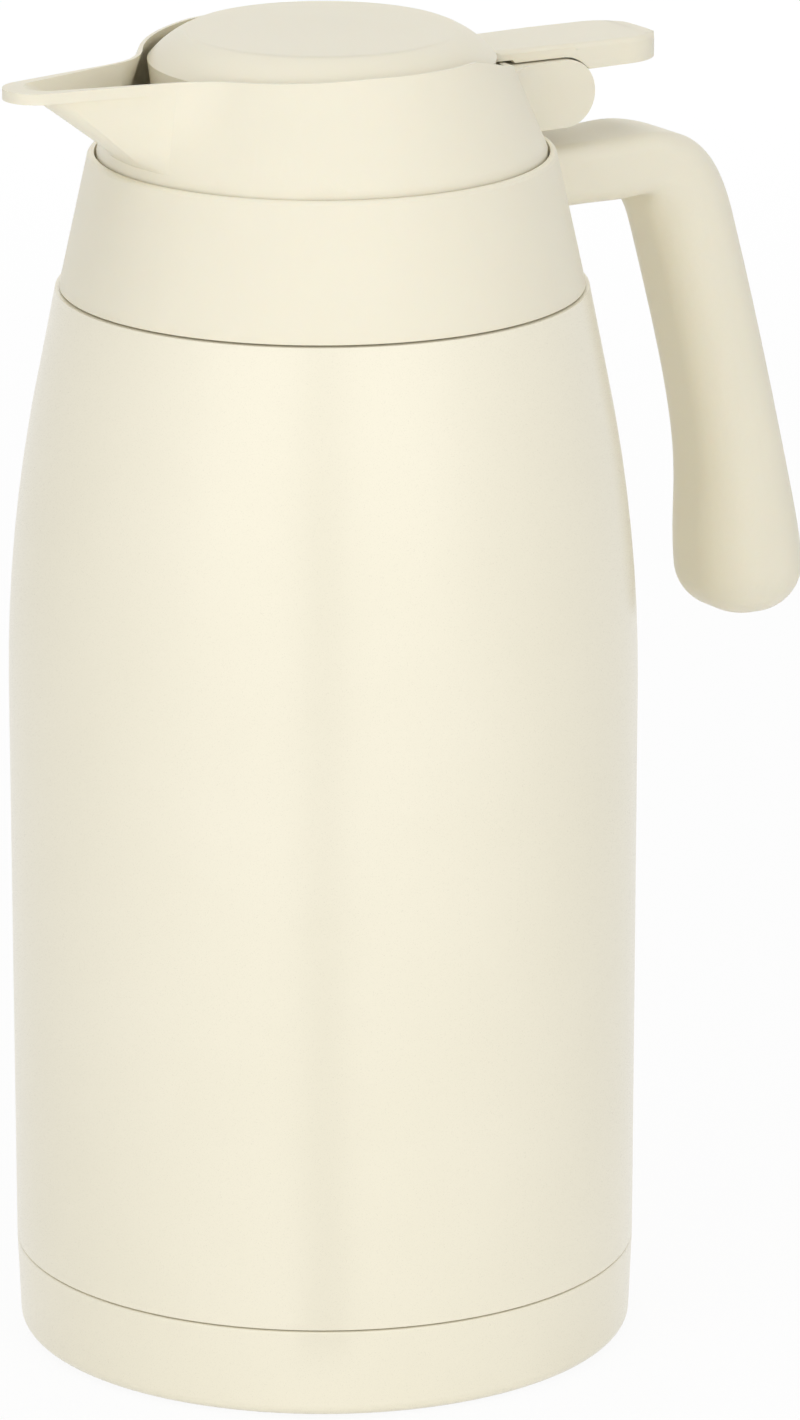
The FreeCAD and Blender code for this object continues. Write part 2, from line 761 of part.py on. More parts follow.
def make_spout_body():
    body = new_body("spout_body")
    far = "(pin_reach + lug_radius + overrun)"
    beak_far = "(beak_reach + beak_tip_radius + beak_lip_proud + overrun)"
    sky = "(ring_top + overrun)"
    shape = ("beak_tip_radius", "beak_reach", "beak_taper", "beak_flare")
    corners = beak_corners("ring_top_radius", *shape)
    loft(
        body, "wall", "Additive",
        root_plan(body, "wall_root", "beak_foot", "beak_foot_radius", corners),
        beak_plan(body, "wall_top", "ring_top", "ring_top_radius", *shape),
    )
    lip = beak_plan(body, "lip", "beak_top - beak_lip_depth", "ring_top_radius",
                    "(beak_tip_radius + beak_lip_proud)", "beak_reach",
                    "beak_lip_taper", "beak_flare")
    edge = body.newObject("PartDesign::Pad", "spout_body_lip")
    edge.Profile = lip
    bind(edge, Length="beak_lip_depth")
    turn(body, "skirt", [
        ("0", "ring_foot"),
        ("ring_radius", "ring_foot"),
        ("ring_radius", "ring_base"),
        ("well_wall_out", "well_floor"),
        ("0", "well_floor"),
    ])
    both_ways(body, "lugs", "Pad", "lug_half_width", [[
        ("lug_root", "lug_foot"),
        ("pin_reach", "lug_foot"),
        ("pin_reach + lug_radius", "pin_height", "lug_radius", 1),
        ("pin_reach", "lug_top", "lug_radius", 1),
        ("lug_root", "lug_top"),
    ]])
    raised(body, "lug_fillets", "Pad", "lug_foot", "2 * lug_radius", [
        [
            ("fillet_x", f"{side} * lug_half_width"),
            ("fillet_x * fillet_part", f"{side} * (lug_half_width + lug_fillet) * fillet_part",
             "lug_fillet", -side),
            ("lug_root", f"{side} * lug_slot_half"),
            ("fillet_x", f"{side} * lug_slot_half"),
        ]
        for side in (1, -1)
    ])
    both_ways(body, "rim", "Pocket", beak_far, [[
        (f"-{beak_far}", "beak_top"),
        ("-ring_top_radius", "beak_top"),
        ("-rim_fall_start", "ring_top"),
        ("hinge_fall_start", "ring_top"),
        ("hinge_fall_end", "hinge_rim"),
        (far, "hinge_rim"),
        (far, sky),
        (f"-{beak_far}", sky),
    ]])
    inner = ("(beak_tip_radius - rim_wall)", "beak_reach", "beak_taper", "(beak_flare + rim_wall)")
    loft(
        body, "well", "Subtractive",
        root_plan(body, "well_root", "well_floor", "well_floor_radius", beak_corners("well_radius", *inner)),
        beak_plan(body, "well_top", "ring_top", "well_radius", *inner),
    )
    turn(body, "skirt_inside", [
        ("0", "ring_foot - overrun"),
        ("ring_radius - skirt_wall", "ring_foot - overrun"),
        ("ring_radius - skirt_wall", "floor_under"),
        ("tube_hole", "floor_under"),
        ("tube_hole", "well_floor + overrun"),
        ("0", "well_floor + overrun"),
    ], "Groove")
    slot_root = "(pin_reach - knuckle_radius - hinge_gap)"
    both_ways(body, "knuckle_slot", "Pocket", "lug_slot_half", [[
        (slot_root, "lug_foot - overrun"),
        (far, "lug_foot - overrun"),
        (far, "lug_top + overrun"),
        (slot_root, "lug_top + overrun"),
    ]])
    hole = new_sketch(body, "pin_hole", "XZ_Plane")
    circle_at(hole, "pin_reach", "pin_height", "pin_radius + pin_clearance")
    drill = body.newObject("PartDesign::Pocket", "spout_body_pin_hole")
    drill.Profile = hole
    drill.SideType = "Two sides"
    bind(drill, Length="lug_half_width + overrun", Length2="pin_blind")
    keep(body, "spout_body")


def make_plug():
    turned_part("stopper_plug", [
        ("plug_inside", "plug_foot"),
        ("plug_radius", "plug_foot"),
        ("plug_radius", "flange_foot"),
        ("plug_flange_radius", "flange_foot"),
        ("plug_flange_radius", "flange_foot + plug_flange_wall"),
        ("plug_deck_radius", "flange_foot + plug_flange_wall"),
        ("plug_deck_radius", "floor_under"),
        ("tube_out", "floor_under"),
        ("tube_out", "seat_height"),
        ("tube_radius", "seat_height"),
        ("tube_radius", "plug_foot"),
        ("tube_out", "plug_foot"),
        ("tube_out", "deck_under"),
        ("plug_inside", "deck_under"),
    ])
    ring_part("plug_bottom", "tube_out + glue_gap", "plug_inside - glue_gap",
              "plug_foot", "plug_foot + plug_bottom_wall")
    ring_part("plug_foam", "tube_out + rest_gap", "plug_inside - rest_gap",
              "plug_foot + plug_bottom_wall + rest_gap", "deck_under - rest_gap")
    ring_part("stopper_gasket", "plug_radius + glue_gap", "plug_flange_radius - rest_gap",
              "mouth_height + rest_gap", "flange_foot")
    ring_part("tube_gasket", "tube_out + glue_gap", "tube_hole - glue_gap",
              "floor_under + glue_gap", "well_floor - glue_gap")


def make_hinge_pin():
    pin = rod("hinge_rod", "pin_radius", "pin_blind + lug_half_width - rest_gap")
    pin.Placement.Rotation = FreeCAD.Rotation(FreeCAD.Vector(0, 0, 1), FreeCAD.Vector(0, 1, 0))
    place(pin, "pin_reach", "rest_gap - pin_blind", "pin_height")
    keep(pin, "hinge_pin")


def make_torsion_spring():
    """Coil on the pin, with one leg on the lug block and the other under the lever's roof."""
    radius = size("spring_radius")
    pitch = size("spring_pitch")
    wire = size("spring_wire")
    quarters = 4 * SPRING_TURNS + 1
    length = pitch * quarters / 4
    pin = FreeCAD.Vector(size("pin_reach"), 0, size("pin_height"))

    def on_coil(quarter):
        angle = math.pi / 2 * quarter
        along = pitch * quarter / 4 - length / 2
        return pin + FreeCAD.Vector(-radius * math.sin(angle), along, -radius * math.cos(angle))

    edges = []
    for quarter in range(quarters):
        edges.append(Part.Arc(on_coil(quarter), on_coil(quarter + 0.5), on_coil(quarter + 1)).toShape())
    wall_leg = size("pin_reach - knuckle_radius - hinge_gap + rest_gap")
    roof_leg = size("lever_roof - rest_gap")
    first = on_coil(0)
    last = on_coil(quarters)
    start = FreeCAD.Vector(2 * pin.x - wall_leg, first.y, first.z)
    end = FreeCAD.Vector(last.x, last.y, roof_leg)
    edges.insert(0, Part.LineSegment(start, first).toShape())
    edges.append(Part.LineSegment(last, end).toShape())
    path = Part.Wire(edges)
    section = Part.Wire(Part.Circle(start, first - start, wire).toShape())
    shell = Part.BRepOffsetAPI.MakePipeShell(path)
    shell.add(section)
    shell.build()
    shell.makeSolid()
    spring = doc.addObject("Part::Feature", "torsion_coil")
    spring.Shape = shell.shape()
    keep(spring, "torsion_spring")
    print("least gap in the spring", round(pitch - 2 * wire, 3))


def boss_spots():
    """Where the lid's screws stand, spread evenly round the lid."""
    turns = [(index + 0.5) * 360 / LID_SCREWS for index in range(LID_SCREWS)]
    return [(f"boss_circle * cos({turn} * 1deg)", f"boss_circle * sin({turn} * 1deg)") for turn in turns]


def make_lid_cover():
    body = new_body("lid_cover")
    far = "(lever_tip + overrun)"
    wide = "(lever_half_width + overrun)"
    nose = "((lever_tip_top - lever_foot) / 2)"
    turn(body, "dome", [
        ("lid_radius - lid_wall", "lid_foot"),
        ("lid_foot_radius", "lid_foot"),
        ("lid_radius", "lid_edge"),
        ("lid_crease_radius", "lid_top", "lid_arc", 1),
        ("0", "lid_top"),
        ("0", "lid_top - lid_wall"),
        ("lid_crease_radius", "lid_top - lid_wall"),
        ("lid_radius - lid_wall", "lid_edge"),
    ])
    both_ways(body, "lever", "Pad", "lever_half_width", [[
        ("lever_root", "lever_roof"),
        ("lever_roof_end", "lever_roof"),
        ("lever_heel", "lever_foot"),
        (f"lever_tip - {nose}", "lever_foot"),
        ("lever_tip", f"lever_foot + {nose}", nose, 1),
        (f"lever_tip - {nose}", "lever_tip_top", nose, 1),
        ("lever_root", "lever_root_top"),
    ]])
    raised(body, "lever_sides", "Pocket", "lever_foot - overrun", "lid_top - lever_foot", [
        [
            ("lever_neck", f"{side} * lever_neck_half"),
            ("lever_full", f"{side} * lever_half_width"),
            ("lever_tip - lever_half_width", f"{side} * lever_half_width"),
            ("lever_tip", "0", "lever_half_width", -side),
            (far, "0"),
            (far, f"{side} * {wide}"),
            ("lever_neck", f"{side} * {wide}"),
        ]
        for side in (1, -1)
    ])
    both_ways(body, "knuckle", "Pad", "knuckle_half_width", [[
        ("pin_reach - knuckle_radius", "pin_height"),
        ("pin_reach", "pin_height - knuckle_radius", "knuckle_radius", 1),
        ("pin_reach + knuckle_radius", "pin_height", "knuckle_radius", 1),
        ("pin_reach + knuckle_radius", "lever_roof + hinge_gap"),
        ("pin_reach - knuckle_radius", "lever_roof + hinge_gap"),
    ]])
    both_ways(body, "spring_gap", "Pocket", "spring_gap_half", [[
        ("pin_reach - knuckle_radius - overrun", "pin_height - knuckle_radius - overrun"),
        ("lever_heel", "pin_height - knuckle_radius - overrun"),
        ("lever_heel", "lever_foot"),
        ("lever_roof_end", "lever_roof"),
        ("pin_reach - knuckle_radius - overrun", "lever_roof"),
    ]])
    both_ways(body, "pin_hole", "Pocket", "lug_half_width",
              [("pin_reach", "pin_height", "pin_radius + pin_clearance")])
    raised(body, "bosses", "Pad", "liner_top", "lid_top - lid_wall / 2 - liner_top",
           [(x, y, "boss_radius") for x, y in boss_spots()])
    raised(body, "pilot_holes", "Pocket", "liner_foot", "lid_screw_length + lid_screw_head_height",
           [(x, y, "lid_screw_radius + pin_clearance") for x, y in boss_spots()])
    keep(body, "lid_cover")


def make_lid_liner():
    body = new_body("lid_liner")
    turn(body, "profile", [
        ("0", "boss_foot"),
        ("liner_boss_radius", "boss_foot"),
        ("liner_boss_radius", "liner_foot"),
        ("liner_radius", "liner_foot"),
        ("liner_radius", "liner_top"),
        ("liner_boss_radius - liner_wall", "liner_top"),
        ("liner_boss_radius - liner_wall", "boss_foot + liner_wall"),
        ("0", "boss_foot + liner_wall"),
    ])
    raised(body, "heads", "Pocket", "liner_foot - overrun", "overrun + lid_screw_head_height",
           [(x, y, "lid_screw_head_radius + screw_clearance") for x, y in boss_spots()])
    raised(body, "shanks", "Pocket", "liner_foot - overrun", "2 * overrun + liner_wall",
           [(x, y, "lid_screw_radius + screw_clearance") for x, y in boss_spots()])
    keep(body, "lid_liner")


def make_lid_seal():
    inner = "(liner_boss_radius + glue_gap)"
    floor = "(boss_foot - glue_gap)"
    turned_part("lid_seal", [
        ("0", "seal_foot"),
        ("seal_face_radius", "seal_foot"),
        ("seal_radius", "seal_foot + seal_wall"),
        ("seal_radius", "seal_foot + seal_wall + seal_lip"),
        (f"{inner} + seal_wall", f"{floor} + seal_wall"),
        (f"{inner} + seal_wall", "liner_foot - seal_lip"),
        (inner, "liner_foot - seal_lip"),
        (inner, floor),
        ("0", floor),
    ])


def make_lid_screws():
    spots = [(x, y, "liner_foot") for x, y in boss_spots()]
    make_screws("lid_screws", "lid_screw_head_radius", "lid_screw_head_height", "lid_screw_radius",
                "lid_screw_length", spots, FreeCAD.Vector(0, 0, 1))


def check_document():
    """Stop if any object failed or any sub-part has no sound shape."""
    doc.recompute()
    failed = [item.Name for item in doc.Objects if {"Invalid", "Error"} & set(item.State)]
    unsound = [part.Label for part in parts if part.Shape.isNull() or not part.Shape.isValid()]
    if failed or unsound:
        raise RuntimeError(f"failed: {failed}, unsound: {unsound}")


make_flask()
make_base()
make_collar()
make_handle()
make_handle_screws()
make_spout_body()
make_plug()
make_hinge_pin()
make_torsion_spring()
make_lid_cover()
make_lid_liner()
make_lid_seal()
make_lid_screws()
check_document()

os.makedirs("parts", exist_ok=True)
for part in parts:
    part.Shape.exportStep(f"parts/{part.Label}.step")
    print(part.Label, len(part.Shape.Solids), round(part.Shape.Volume / 1000, 2))
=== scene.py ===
import json
import math

import bmesh
import bpy
from mathutils import Matrix, Vector


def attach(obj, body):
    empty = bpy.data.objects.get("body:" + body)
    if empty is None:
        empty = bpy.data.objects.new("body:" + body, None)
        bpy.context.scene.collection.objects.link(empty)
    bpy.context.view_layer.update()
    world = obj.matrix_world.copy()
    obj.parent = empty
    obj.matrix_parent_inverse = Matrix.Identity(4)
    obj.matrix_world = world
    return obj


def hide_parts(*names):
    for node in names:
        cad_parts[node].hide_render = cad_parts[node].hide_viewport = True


# Looks of the insulated pitcher, in metres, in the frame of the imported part.

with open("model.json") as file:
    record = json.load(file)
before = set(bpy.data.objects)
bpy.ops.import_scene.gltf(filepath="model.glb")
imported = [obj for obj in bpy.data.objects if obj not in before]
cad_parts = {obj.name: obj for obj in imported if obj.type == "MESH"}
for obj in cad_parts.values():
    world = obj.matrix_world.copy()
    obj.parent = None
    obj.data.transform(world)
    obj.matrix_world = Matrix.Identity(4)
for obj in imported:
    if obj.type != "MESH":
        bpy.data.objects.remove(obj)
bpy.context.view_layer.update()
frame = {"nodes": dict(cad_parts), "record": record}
nodes = frame["nodes"]
behaviour = frame["record"]["behaviour"]
bodies = {node: body for body, members in behaviour["bodies"].items() for node in members}
slots = {entry["node"]: entry["material_slot"] for entry in frame["record"]["subparts"]}
hinge = next(joint for joint in behaviour["joints"] if joint["name"] == "lid_hinge")
scene = bpy.context.scene

# Where a colour ramp leaves its first colour and reaches its second
RAMP_ENDS = (0.3, 0.7)


def linear(red, green, blue):
    """A colour in linear light from screen values of 0 to 255."""
    values = [c / 255 for c in (red, green, blue)]
    return tuple(c / 12.92 if c <= 0.04045 else ((c + 0.055) / 1.055) ** 2.4 for c in values) + (1.0,)


def material(name):
    """A new material with its node tree and its main shader."""
    made = bpy.data.materials.new(name)
    made.use_nodes = True
    return made, made.node_tree, made.node_tree.nodes["Principled BSDF"]


def tune(shader, values):
    """Set plain values on a shader's inputs, by their names."""
    for name, value in values.items():
        shader.inputs[name].default_value = value


def noise(tree, scale, detail=3.0, stretch=(1, 1, 1)):
    """Noise over the part's own coordinates, at so many cells to the metre."""
    place = tree.nodes.new("ShaderNodeTexCoord")
    mapping = tree.nodes.new("ShaderNodeMapping")
    mapping.inputs["Scale"].default_value = stretch
    grain = tree.nodes.new("ShaderNodeTexNoise")
    tune(grain, {"Scale": scale, "Detail": detail})
    tree.links.new(place.outputs["Object"], mapping.inputs["Vector"])
    tree.links.new(mapping.outputs["Vector"], grain.inputs["Vector"])
    return grain.outputs["Fac"]


def tint(tree, shader, factor, low, high):
    """Let a factor set the base colour between two colours in screen values."""
    ramp = tree.nodes.new("ShaderNodeValToRGB")
    for element, position, colour in zip(ramp.color_ramp.elements, RAMP_ENDS, (low, high)):
        element.position = position
        element.color = linear(*colour)
    tree.links.new(factor, ramp.inputs["Fac"])
    tree.links.new(ramp.outputs["Color"], shader.inputs["Base Color"])


def roughen(tree, shader, factor, low, high):
    """Let a factor set the roughness between two values."""
    span = tree.nodes.new("ShaderNodeMapRange")
    tune(span, {"To Min": low, "To Max": high})
    tree.links.new(factor, span.inputs["Value"])
    tree.links.new(span.outputs["Result"], shader.inputs["Roughness"])


def bump(tree, shader, height, distance, strength):
    """Let a height raise the surface by a small distance."""
    relief = tree.nodes.new("ShaderNodeBump")
    tune(relief, {"Strength": strength, "Distance": distance})
    tree.links.new(height, relief.inputs["Height"])
    tree.links.new(relief.outputs["Normal"], shader.inputs["Normal"])


def cream_plastic():
    made, tree, shader = material("cream_plastic")
    tint(tree, shader, noise(tree, scale=26), low=(238, 232, 212), high=(240, 234, 214))
    grain = noise(tree, scale=2600, detail=2)
    roughen(tree, shader, grain, low=0.40, high=0.50)
    bump(tree, shader, grain, distance=0.00002, strength=0.35)
    tune(shader, {
        "Specular IOR Level": 0.42,
        "Subsurface Weight": 0.20,
        "Subsurface Radius": (0.004, 0.003, 0.002),
    })
    return made


def pearl_paint():
    made, tree, shader = material("pearl_paint")
    tint(tree, shader, noise(tree, scale=14), low=(240, 234, 213), high=(243, 237, 217))
    flakes = noise(tree, scale=5200, detail=1)
    roughen(tree, shader, flakes, low=0.25, high=0.32)
    bump(tree, shader, flakes, distance=0.00001, strength=0.25)
    tune(shader, {"Metallic": 0.05, "Coat Weight": 0.12, "Coat Roughness": 0.18})
    return made


def white_plastic():
    made, tree, shader = material("white_plastic")
    tint(tree, shader, noise(tree, scale=40), low=(228, 228, 222), high=(236, 236, 231))
    grain = noise(tree, scale=2200, detail=2)
    roughen(tree, shader, grain, low=0.38, high=0.48)
    bump(tree, shader, grain, distance=0.00002, strength=0.3)
    tune(shader, {"Subsurface Weight": 0.12, "Subsurface Radius": (0.004, 0.004, 0.004)})
    return made


def steel():
    made, tree, shader = material("drawn_steel")
    lines = noise(tree, scale=900, detail=4, stretch=(0.03, 0.03, 1))
    tint(tree, shader, lines, low=(206, 206, 203), high=(222, 222, 219))
    roughen(tree, shader, lines, low=0.32, high=0.44)
    bump(tree, shader, lines, distance=0.00001, strength=0.3)
    tune(shader, {"Metallic": 0.92})
    return made


def foil():
    made, tree, shader = material("thin_foil")
    creases = noise(tree, scale=160, detail=6)
    tint(tree, shader, creases, low=(214, 214, 214), high=(235, 235, 235))
    roughen(tree, shader, creases, low=0.12, high=0.28)
    bump(tree, shader, creases, distance=0.0003, strength=0.5)
    tune(shader, {"Metallic": 1.0})
    return made


def silicone():
    made, tree, shader = material("grey_silicone")
    tint(tree, shader, noise(tree, scale=60), low=(206, 206, 200), high=(218, 218, 213))
    roughen(tree, shader, noise(tree, scale=1800, detail=2), low=0.5, high=0.62)
    tune(shader, {"Subsurface Weight": 0.3, "Subsurface Radius": (0.003, 0.003, 0.003)})
    return made


def foam():
    made, tree, shader = material("white_foam")
    cells = tree.nodes.new("ShaderNodeTexVoronoi")
    tune(cells, {"Scale": 420})
    tint(tree, shader, cells.outputs["Distance"], low=(238, 238, 234), high=(222, 222, 217))
    bump(tree, shader, cells.outputs["Distance"], distance=0.0005, strength=0.6)
    tune(shader, {"Roughness": 0.85})
    return made


looks = {
    "cream_plastic": cream_plastic(),
    "shell_paint": pearl_paint(),
    "white_plastic": white_plastic(),
    "steel": steel(),
    "foil": foil(),
    "seal_rubber": silicone(),
    "foam": foam(),
}

# From this angle up, edges of the nodes stay sharp in their shading
NODE_CREASE = math.radians(30)


def dress(piece, slot):
    """Give a piece the one material of its slot."""
    piece.data.materials.clear()
    piece.data.materials.append(looks[slot])


for node, piece in nodes.items():
    dress(piece, slots[node])
    for face in piece.data.polygons:
        face.use_smooth = True
    piece.data.set_sharp_from_angle(angle=NODE_CREASE)

# Sharper edges than this are rounded, after points that meet and faces that are nearly flat are joined
EDGE_ANGLE = math.radians(32)
FLAT_ANGLE = math.radians(0.3)
WELD = 1e-6

# Edges past this reach and above this height are the upper ones of the lever
LEVER_TOP_START = 0.0390
LEVER_TOP_FOOT = 0.2878


def on_lever_top(place):
    return place.x > LEVER_TOP_START and place.z > LEVER_TOP_FOOT


def rounded(piece, name, width, segments, limit):
    """Round the edges of a piece that its angle or weight limit picks."""
    rounding = piece.modifiers.new(name, "BEVEL")
    rounding.width = width
    rounding.segments = segments
    rounding.limit_method = limit
    rounding.angle_limit = EDGE_ANGLE
    rounding.use_clamp_overlap = True
    rounding.miter_outer = "MITER_ARC"


def softened(node, width, bold_width=0, bold=None):
    """Stand a copy with rounded edges for a CAD node; edges that pass the bold test are rounded more."""
    mesh = nodes[node].data.copy()
    work = bmesh.new()
    work.from_mesh(mesh)
    bmesh.ops.remove_doubles(work, verts=work.verts, dist=WELD)
    bmesh.ops.dissolve_limit(work, angle_limit=FLAT_ANGLE, verts=work.verts, edges=work.edges)
    for face in work.faces:
        face.smooth = True
    if bold:
        weight = work.edges.layers.float.new("bevel_weight_edge")
        for edge in work.edges:
            sharp = edge.is_manifold and edge.calc_face_angle(0) > EDGE_ANGLE
            edge[weight] = 1.0 if sharp and all(bold(v.co) for v in edge.verts) else 0.0
    work.to_mesh(mesh)
    work.free()
    piece = bpy.data.objects.new(f"{node}_soft", mesh)
    scene.collection.objects.link(piece)
    if bold:
        rounded(piece, "bold_rounding", bold_width, segments=4, limit="WEIGHT")
    rounded(piece, "rounding", width, segments=3, limit="ANGLE")
    shading = piece.modifiers.new("shading", "WEIGHTED_NORMAL")
    shading.keep_sharp = True
    shading.weight = 60
    dress(piece, slots[node])
    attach(piece, bodies[node])
    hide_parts(node)


softened("base_cap", width=0.0005)
softened("collar", width=0.0008)
softened("handle", width=0.0006)
softened("spout_body", width=0.0003)
softened("lid_cover", width=0.0005, bold_width=0.0014, bold=on_lever_top)


def share(value, low, high):
    """How far a value has come from low to high, held between 0 and 1."""
    return min(1, max(0, (value - low) / (high - low)))


def around(angle, radius, height, side=1):
    """A point about the flask's axis; side -1 mirrors it in the XZ plane."""
    return radius * math.cos(angle), side * radius * math.sin(angle), height


def plain_piece(name, tubes, body, slot, crease):
    """A piece of closed tubes, each a list of sections; edges are sharp from a crease angle in degrees."""
    points, faces = [], []
    for sections in tubes:
        count, first = len(sections[0]), len(points)
        points += [point for section in sections for point in section]
        last = len(points) - count
        for near in range(first, last, count):
            pairs = [(near + k, near + (k + 1) % count) for k in range(count)]
            faces += [(here, after, after + count, here + count) for here, after in pairs]
        faces += [tuple(range(end, end + count)) for end in (first, last)]
    mesh = bpy.data.meshes.new(name)
    mesh.from_pydata(points, [], faces)
    work = bmesh.new()
    work.from_mesh(mesh)
    bmesh.ops.recalc_face_normals(work, faces=work.faces)
    work.to_mesh(mesh)
    work.free()
    for face in mesh.polygons:
        face.use_smooth = True
    mesh.set_sharp_from_angle(angle=math.radians(crease))
    piece = bpy.data.objects.new(name, mesh)
    scene.collection.objects.link(piece)
    dress(piece, slot)
    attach(piece, body)


# The lever's side walls: outline from the lid's edge over the ring's rim and the lug to the heel
PIN_REACH = hinge["pos_m"][0]
PIN_HEIGHT = hinge["pos_m"][2]
SKIRT_CLEAR = 0.0080
SKIRT_TURNS = [math.radians(a) for a in range(0, 51, 5)]
SKIRT_ROOT = 0.0392
SKIRT_ROOF = 0.2881
SKIRT_ROOF_END = 0.0590
SKIRT_HEEL = (0.0626, 0.2836)
OVER_RIM = 0.2867
OVER_RIM_END = 0.0434
OVER_LUG_START = 0.0440
SKIRT_WALL = 0.0015
SKIRT_PROUD = 0.00002
# The lever's half width grows from its neck to its full reach
NECK_REACH = 0.0395
NECK_HALF = 0.0095
FULL_REACH = 0.0600
FULL_HALF = 0.0110


def lever_skirt(name, side):
    """The lever's side wall over a hinge lug, a small gap above the lug's flat top and round end."""
    outline = [(SKIRT_ROOT, OVER_RIM), (OVER_RIM_END, OVER_RIM), (OVER_LUG_START, PIN_HEIGHT + SKIRT_CLEAR)]
    for turn in SKIRT_TURNS:
        outline.append((PIN_REACH + SKIRT_CLEAR * math.sin(turn), PIN_HEIGHT + SKIRT_CLEAR * math.cos(turn)))
    outline += [SKIRT_HEEL, (SKIRT_ROOF_END, SKIRT_ROOF), (SKIRT_ROOT, SKIRT_ROOF)]
    sections = []
    for depth in (-SKIRT_PROUD, SKIRT_WALL):
        section = []
        for reach, height in outline:
            half = NECK_HALF + (FULL_HALF - NECK_HALF) * share(reach, NECK_REACH, FULL_REACH)
            section.append((reach, side * (half - depth), height))
        sections.append(section)
    plain_piece(name, [sections], "lid", "cream_plastic", crease=30)


# The pouring ring's two faces: radii at its top, and how far each leans out for its drop
RING_TOP = 0.2938
RING_OUTSIDE = 0.0395
RING_OUTSIDE_LEAN = 0.423
RING_INSIDE = 0.0387
RING_INSIDE_LEAN = 0.300
# The solid's rim falls between two reaches to its foot, and the eased rim from the first to the lug
FALL_START = 0.0172
FALL_END = 0.0302
FALL_FOOT = 0.2856
LUG_REACH = 0.0413
LUG_RIM = 0.2859
EASE_POWER = 1.3
# The strips: from the lug round the ring, sunk in its faces, lapped under the solid's rim
CHEEK_FIRST = math.radians(15)
CHEEK_LAST = math.radians(68)
CHEEK_STEPS = 48
CHEEK_MIDDLE = 0.2890
CHEEK_SUNK = 0.00003
CHEEK_LAP = 0.0010
CHEEK_LEAST = 0.0003


def cheek_outside(height):
    return RING_OUTSIDE + (RING_TOP - height) * RING_OUTSIDE_LEAN - CHEEK_SUNK


def cheek_inside(height):
    return RING_INSIDE + (RING_TOP - height) * RING_INSIDE_LEAN + CHEEK_SUNK


def rim_cheek(name, side):
    """A strip of the ring's wall that eases its rim down to a hinge lug, over the solid's lower cut."""
    sections = []
    for step in range(CHEEK_STEPS + 1):
        angle = CHEEK_FIRST + (CHEEK_LAST - CHEEK_FIRST) * step / CHEEK_STEPS
        reach = cheek_outside(CHEEK_MIDDLE) * math.cos(angle)
        eased = share(reach, FALL_START, LUG_REACH) ** EASE_POWER
        rim = RING_TOP - CHEEK_SUNK - (RING_TOP - LUG_RIM) * eased
        cut = RING_TOP - (RING_TOP - FALL_FOOT) * share(reach, FALL_START, FALL_END)
        foot = min(rim - CHEEK_LEAST, cut - CHEEK_LAP)
        corners = [(cheek_outside(height), height) for height in (foot, rim)]
        corners += [(cheek_inside(height), height) for height in (rim, foot)]
        sections.append([around(angle, radius, height, side) for radius, height in corners])
    plain_piece(name, [sections], "stopper", "cream_plastic", crease=40)


# Thread ridges: where each starts, in degrees, how far it turns and climbs, and how it fades at its ends
RIDGE_STARTS = (20, 140, 260)
RIDGE_SPAN = math.radians(80)
RIDGE_CLIMB = 0.0035
RIDGE_STEPS = 24
RIDGE_FADE_SHARE = 0.15
# A ridge's section: half heights of its foot and crest, and how deep its foot is sunk in the wall
RIDGE_FOOT_HALF = 0.0011
RIDGE_CREST_HALF = 0.0005
RIDGE_SUNK = 0.00005


def ridge(start, radius, proud, foot):
    """The sections of one low helical ridge on a round wall."""
    sunk = math.copysign(RIDGE_SUNK, proud)
    sections = []
    for step in range(RIDGE_STEPS + 1):
        along = step / RIDGE_STEPS
        angle = math.radians(start) + along * RIDGE_SPAN
        middle = foot + along * RIDGE_CLIMB
        crest = proud * min(1, along / RIDGE_FADE_SHARE, (1 - along) / RIDGE_FADE_SHARE)
        corners = [(-sunk, -RIDGE_FOOT_HALF), (crest, -RIDGE_CREST_HALF)]
        corners += [(out, -drop) for out, drop in reversed(corners)]
        sections.append([around(angle, radius + out, middle + drop) for out, drop in corners])
    return sections


def thread(name, body, radius, proud, foot):
    """Three ridges on a round wall; proud is outward from it, or inward below zero."""
    ridges = [ridge(start, radius, proud, foot) for start in RIDGE_STARTS]
    plain_piece(name, ridges, body, "cream_plastic", crease=60)


SIDES = {"left": 1, "right": -1}
for name, side in SIDES.items():
    lever_skirt(f"lever_skirt_{name}", side)
for name, side in SIDES.items():
    rim_cheek(f"rim_cheek_{name}", side)
thread("stopper_thread", "stopper", radius=0.0494, proud=0.00025, foot=0.2605)
thread("socket_thread", "flask", radius=0.0500, proud=-0.00025, foot=0.2640)

# The floor, and the share of its look that is left to the object's shadow
FLOOR_SIZE = 12
FLOOR_DROP = 0.0004
FLOOR_COLOUR = (0.92, 0.92, 0.92, 1)
SHADOW_SHARE = 0.08


def seen(tree):
    """How far a ray is one that sees the background: straight, in a mirror or through a clear piece."""
    path = tree.nodes.new("ShaderNodeLightPath")
    mirrored = tree.nodes.new("ShaderNodeMath")
    through = tree.nodes.new("ShaderNodeMath")
    for step in (mirrored, through):
        step.operation = "MAXIMUM"
    tree.links.new(path.outputs["Is Camera Ray"], mirrored.inputs[0])
    tree.links.new(path.outputs["Is Glossy Ray"], mirrored.inputs[1])
    tree.links.new(mirrored.outputs["Value"], through.inputs[0])
    tree.links.new(path.outputs["Is Transmission Ray"], through.inputs[1])
    return through.outputs["Value"]


